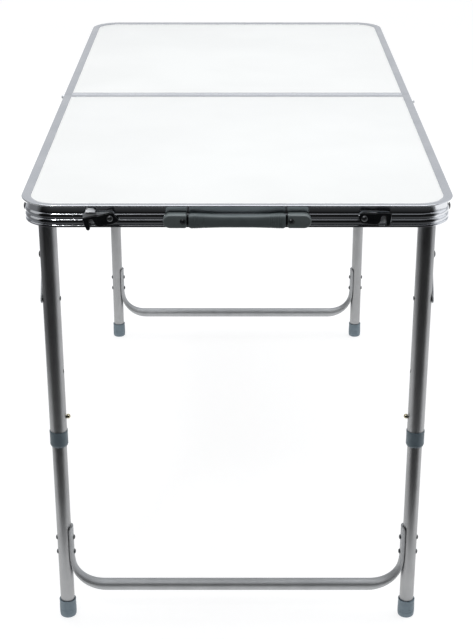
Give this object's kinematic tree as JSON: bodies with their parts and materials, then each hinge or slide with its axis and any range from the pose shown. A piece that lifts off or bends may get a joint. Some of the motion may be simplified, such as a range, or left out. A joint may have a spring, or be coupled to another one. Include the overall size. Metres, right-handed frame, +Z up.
{
  "type": "folding table",
  "caption": "Two-part camping table that folds like a case, with a white top in ribbed aluminium rails, telescopic U-braced legs, clasps and a carrying handle.",
  "frame": {"origin": "centre of the footprint on the floor, under the middle of the overall box", "axes": "+Z up; +X across the table, to the right as seen from the handle end; +Y along it, away from the handle end"},
  "size_m": [0.615, 1.2194, 0.7],
  "materials": {
    "rail": "satin, drawn",
    "board": "white laminate, fine texture",
    "tube": "satin",
    "plastic": "blue-grey moulded",
    "handle": "grey-green moulded",
    "clasp": "black moulded",
    "zinc": "zinc plated",
    "rivet": "dark plated",
    "brass": "nickelled, worn"
  },
  "bodies": {
    "near_half": {"near_rail": "rail", "near_seam_rail": "rail", "near_board": "board", "near_left_hinge_leaf": "zinc", "near_right_hinge_leaf": "zinc", "near_left_pivot_pin": "rivet", "near_right_pivot_pin": "rivet", "bolt_keeper_left": "zinc", "handle_mount_left": "handle", "handle_mount_right": "handle", "clasp_plate_left": "zinc", "clasp_plate_right": "zinc", "clasp_rivet_left": "rivet", "clasp_rivet_right": "rivet"},
    "far_half": {"far_rail": "rail", "far_seam_rail": "rail", "far_board": "board", "far_left_hinge_leaf": "zinc", "far_right_hinge_leaf": "zinc", "far_left_pivot_pin": "rivet", "far_right_pivot_pin": "rivet", "bolt_keeper_right": "zinc", "catch_stud_left": "zinc", "catch_stud_right": "zinc"},
    "near_leg": {"near_left_upper_tube": "tube", "near_left_collar": "plastic", "near_right_upper_tube": "tube", "near_right_collar": "plastic"},
    "near_leg_lower": {"near_left_lower_tube": "tube", "near_left_foot": "plastic", "near_right_lower_tube": "tube", "near_right_foot": "plastic", "near_leg_brace": "tube"},
    "near_left_snap_button": {"near_left_snap_button": "brass"},
    "near_left_stay_upper": {"near_left_stay_upper": "zinc"},
    "near_left_stay_lower": {"near_left_stay_lower": "zinc"},
    "near_right_snap_button": {"near_right_snap_button": "brass"},
    "near_right_stay_upper": {"near_right_stay_upper": "zinc"},
    "near_right_stay_lower": {"near_right_stay_lower": "zinc"},
    "far_leg": {"far_left_upper_tube": "tube", "far_left_collar": "plastic", "far_right_upper_tube": "tube", "far_right_collar": "plastic"},
    "far_leg_lower": {"far_left_lower_tube": "tube", "far_left_foot": "plastic", "far_right_lower_tube": "tube", "far_right_foot": "plastic", "far_leg_brace": "tube"},
    "far_left_snap_button": {"far_left_snap_button": "brass"},
    "far_left_stay_upper": {"far_left_stay_upper": "zinc"},
    "far_left_stay_lower": {"far_left_stay_lower": "zinc"},
    "far_right_snap_button": {"far_right_snap_button": "brass"},
    "far_right_stay_upper": {"far_right_stay_upper": "zinc"},
    "far_right_stay_lower": {"far_right_stay_lower": "zinc"},
    "handle_grip": {"handle_grip": "handle"},
    "clasp_left": {"clasp_lever_left": "clasp"},
    "seam_bolt_left": {"seam_bolt_left": "zinc"},
    "clasp_right": {"clasp_lever_right": "clasp"},
    "seam_bolt_right": {"seam_bolt_right": "zinc"}
  },
  "joints": [
    {"name": "table_fold", "type": "hinge", "parent": "near_half", "child": "far_half", "pos_m": [0, 0.00325, 0.665], "axis": [1, 0, 0], "range_deg": [-75, 0]},
    {"name": "near_leg_fold", "type": "hinge", "parent": "near_half", "child": "near_leg", "pos_m": [0, -0.54175, 0.6815], "axis": [1, 0, 0], "range_deg": [0, 87]},
    {"name": "near_leg_slide", "type": "slide", "parent": "near_leg", "child": "near_leg_lower", "axis": [0, 0, 1], "range_m": [0, 0.139]},
    {"name": "near_left_button_press", "type": "slide", "parent": "near_leg_lower", "child": "near_left_snap_button", "axis": [-1, 0, 0], "range_m": [0, 0.008], "stiffness_N_per_m": 400, "springref_m": -0.002},
    {"name": "near_left_stay_upper_turn", "type": "hinge", "parent": "near_half", "child": "near_left_stay_upper", "pos_m": [0, -0.44175, 0.6815], "axis": [1, 0, 0], "range_deg": [0, 122.45]},
    {"name": "near_left_stay_lower_turn", "type": "hinge", "parent": "near_left_stay_upper", "child": "near_left_stay_lower", "pos_m": [0, -0.50349, 0.59475], "axis": [1, 0, 0], "range_deg": [-176.26, 0]},
    {"name": "near_right_button_press", "type": "slide", "parent": "near_leg_lower", "child": "near_right_snap_button", "axis": [1, 0, 0], "range_m": [0, 0.008], "stiffness_N_per_m": 400, "springref_m": -0.002},
    {"name": "near_right_stay_upper_turn", "type": "hinge", "parent": "near_half", "child": "near_right_stay_upper", "pos_m": [0, -0.44175, 0.6815], "axis": [1, 0, 0], "range_deg": [0, 122.45]},
    {"name": "near_right_stay_lower_turn", "type": "hinge", "parent": "near_right_stay_upper", "child": "near_right_stay_lower", "pos_m": [0, -0.50349, 0.59475], "axis": [1, 0, 0], "range_deg": [-176.26, 0]},
    {"name": "far_leg_fold", "type": "hinge", "parent": "far_half", "child": "far_leg", "pos_m": [0, 0.54825, 0.6815], "axis": [-1, 0, 0], "range_deg": [0, 87]},
    {"name": "far_leg_slide", "type": "slide", "parent": "far_leg", "child": "far_leg_lower", "axis": [0, 0, 1], "range_m": [0, 0.139]},
    {"name": "far_left_button_press", "type": "slide", "parent": "far_leg_lower", "child": "far_left_snap_button", "axis": [-1, 0, 0], "range_m": [0, 0.008], "stiffness_N_per_m": 400, "springref_m": -0.002},
    {"name": "far_left_stay_upper_turn", "type": "hinge", "parent": "far_half", "child": "far_left_stay_upper", "pos_m": [0, 0.44825, 0.6815], "axis": [-1, 0, 0], "range_deg": [0, 122.45]},
    {"name": "far_left_stay_lower_turn", "type": "hinge", "parent": "far_left_stay_upper", "child": "far_left_stay_lower", "pos_m": [0, 0.50999, 0.59475], "axis": [-1, 0, 0], "range_deg": [-176.26, 0]},
    {"name": "far_right_button_press", "type": "slide", "parent": "far_leg_lower", "child": "far_right_snap_button", "axis": [1, 0, 0], "range_m": [0, 0.008], "stiffness_N_per_m": 400, "springref_m": -0.002},
    {"name": "far_right_stay_upper_turn", "type": "hinge", "parent": "far_half", "child": "far_right_stay_upper", "pos_m": [0, 0.44825, 0.6815], "axis": [-1, 0, 0], "range_deg": [0, 122.45]},
    {"name": "far_right_stay_lower_turn", "type": "hinge", "parent": "far_right_stay_upper", "child": "far_right_stay_lower", "pos_m": [0, 0.50999, 0.59475], "axis": [-1, 0, 0], "range_deg": [-176.26, 0]},
    {"name": "handle_pull", "type": "slide", "parent": "near_half", "child": "handle_grip", "axis": [0, -1, 0], "range_m": [0, 0.022], "stiffness_N_per_m": 800, "springref_m": -0.001},
    {"name": "clasp_left_turn", "type": "hinge", "parent": "near_half", "child": "clasp_left", "pos_m": [-0.1735, -0.59765, 0.6826], "axis": [0, -1, 0], "range_deg": [-12, 78]},
    {"name": "seam_bolt_left_slide", "type": "slide", "parent": "far_half", "child": "seam_bolt_left", "axis": [0, -1, 0], "range_m": [0, 0.01]},
    {"name": "clasp_right_turn", "type": "hinge", "parent": "near_half", "child": "clasp_right", "pos_m": [0.1735, -0.59765, 0.6826], "axis": [0, 1, 0], "range_deg": [0, 90]},
    {"name": "seam_bolt_right_slide", "type": "slide", "parent": "near_half", "child": "seam_bolt_right", "axis": [0, 1, 0], "range_m": [0, 0.01]}
  ],
  "couplings": [
    {"joint": "near_left_stay_upper_turn", "follows": "near_leg_fold", "ratio": 1.4017},
    {"joint": "near_left_stay_lower_turn", "follows": "near_leg_fold", "ratio": -2.0202},
    {"joint": "near_right_stay_upper_turn", "follows": "near_leg_fold", "ratio": 1.4017},
    {"joint": "near_right_stay_lower_turn", "follows": "near_leg_fold", "ratio": -2.0202},
    {"joint": "far_left_stay_upper_turn", "follows": "far_leg_fold", "ratio": 1.4017},
    {"joint": "far_left_stay_lower_turn", "follows": "far_leg_fold", "ratio": -2.0202},
    {"joint": "far_right_stay_upper_turn", "follows": "far_leg_fold", "ratio": 1.4017},
    {"joint": "far_right_stay_lower_turn", "follows": "far_leg_fold", "ratio": -2.0202}
  ]
}
